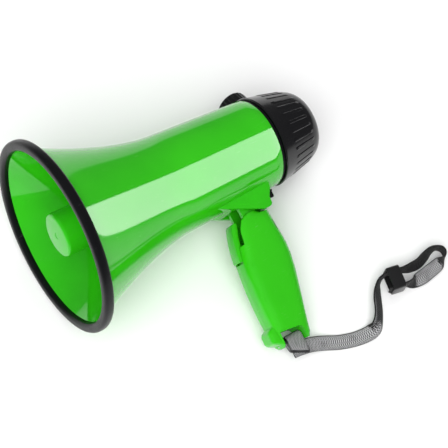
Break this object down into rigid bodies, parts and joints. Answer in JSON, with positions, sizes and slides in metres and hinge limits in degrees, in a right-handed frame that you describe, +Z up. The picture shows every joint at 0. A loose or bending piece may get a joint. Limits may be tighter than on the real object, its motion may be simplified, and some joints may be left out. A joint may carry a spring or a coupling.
{
  "type": "cheer megaphone",
  "caption": "Handheld electric cheer megaphone: flared horn with rubber rim, folding pistol grip with talk trigger, twist-off ribbed battery cap, volume knob and wrist strap.",
  "frame": {"origin": "middle of the footprint of the megaphone lying on its right side, at the surface it lies on, measured without the strap", "axes": "+X towards the rear cap, +Z up; the grip points towards -Y. The horn's own axis dips 11.8 degrees towards the rear"},
  "size_m": [0.2916, 0.2558, 0.1522],
  "materials": {
    "horn_green": "glossy moulded ABS",
    "grip_green": "glossy moulded ABS",
    "inner_green": "moulded ABS",
    "rim_rubber": "soft satin",
    "cap_black": "glossy moulded ABS",
    "inner_black": "matt",
    "seal_rubber": "matt",
    "foam_grey": "open-cell foam",
    "webbing_black": "woven nylon",
    "plated_steel": "zinc plated",
    "contact_brass": "bright",
    "magnet_grey": "sintered ferrite",
    "film_amber": "thin film",
    "cell_wrap": "printed-free shrink wrap",
    "board_green": "solder mask",
    "part_blue": "sleeved",
    "wire_red": "PVC sleeve",
    "chip_black": "moulded epoxy"
  },
  "bodies": {
    "horn": {"horn_shell": "horn_green", "rim_ring": "rim_rubber", "reflector_cup": "horn_green", "throat_tube": "inner_green", "driver_frame": "inner_black", "driver_diaphragm": "film_amber", "voice_coil": "contact_brass", "driver_top_plate": "plated_steel", "driver_magnet": "magnet_grey", "driver_yoke": "plated_steel", "driver_cover": "inner_black", "driver_screws": "plated_steel", "driver_wires": "wire_red", "battery_cradle": "inner_black", "battery_1": "cell_wrap", "battery_2": "cell_wrap", "battery_3": "cell_wrap", "battery_4": "cell_wrap", "cradle_contacts": "contact_brass", "cradle_springs": "plated_steel", "handle_bracket": "horn_green", "bracket_screws": "plated_steel", "switch_body": "inner_black"},
    "mode_lever": {"mode_slider": "cap_black"},
    "seal": {"cap_seal": "seal_rubber"},
    "rear_unit": {"rear_cap": "cap_black", "contact_plate": "inner_black", "contact_springs": "plated_steel", "circuit_board": "board_green", "amplifier_chip": "chip_black", "capacitors": "part_blue", "volume_pot": "plated_steel", "pot_nut": "plated_steel", "mic_capsule": "plated_steel", "mic_foam": "foam_grey", "mic_grille": "cap_black"},
    "knob": {"pot_shaft": "plated_steel", "volume_knob": "cap_black"},
    "grip": {"grip_left": "grip_green", "grip_right": "grip_green", "grip_screws": "plated_steel", "hinge_pin": "plated_steel", "trigger_pin": "plated_steel", "trigger_spring": "plated_steel", "talk_switch": "inner_black", "strap_bar": "plated_steel", "strap_loop": "webbing_black", "wrist_strap": "webbing_black", "strap_slider": "cap_black"},
    "trigger": {"trigger": "grip_green"}
  },
  "joints": [
    {"name": "cap_pull", "type": "slide", "parent": "horn", "child": "seal", "axis": [0.979, 0, -0.2041], "range_m": [0, 0.06]},
    {"name": "cap_twist", "type": "hinge", "parent": "seal", "child": "rear_unit", "pos_m": [0.08489, 0.0373, 0.0361], "axis": [0.979, 0, -0.2041], "range_deg": [0, 30]},
    {"name": "volume_turn", "type": "hinge", "parent": "rear_unit", "child": "knob", "pos_m": [0.08783, 0.0373, 0.03549], "axis": [-0.0723, 0.9351, -0.347], "range_deg": [0, 300]},
    {"name": "mode_slide", "type": "slide", "parent": "horn", "child": "mode_lever", "axis": [-0.979, 0, 0.2041], "range_m": [0, 0.003]},
    {"name": "handle_fold", "type": "hinge", "parent": "horn", "child": "grip", "pos_m": [0.03312, -0.02667, 0.03031], "axis": [-0.1978, 0.246, -0.9489], "range_deg": [0, 75]},
    {"name": "trigger_press", "type": "hinge", "parent": "grip", "child": "trigger", "pos_m": [0.0163, -0.04703, 0.02853], "axis": [-0.1978, 0.246, -0.9489], "range_deg": [0, 4.5], "stiffness_Nm_per_rad": 0.3, "springref_deg": -8.59}
  ]
}
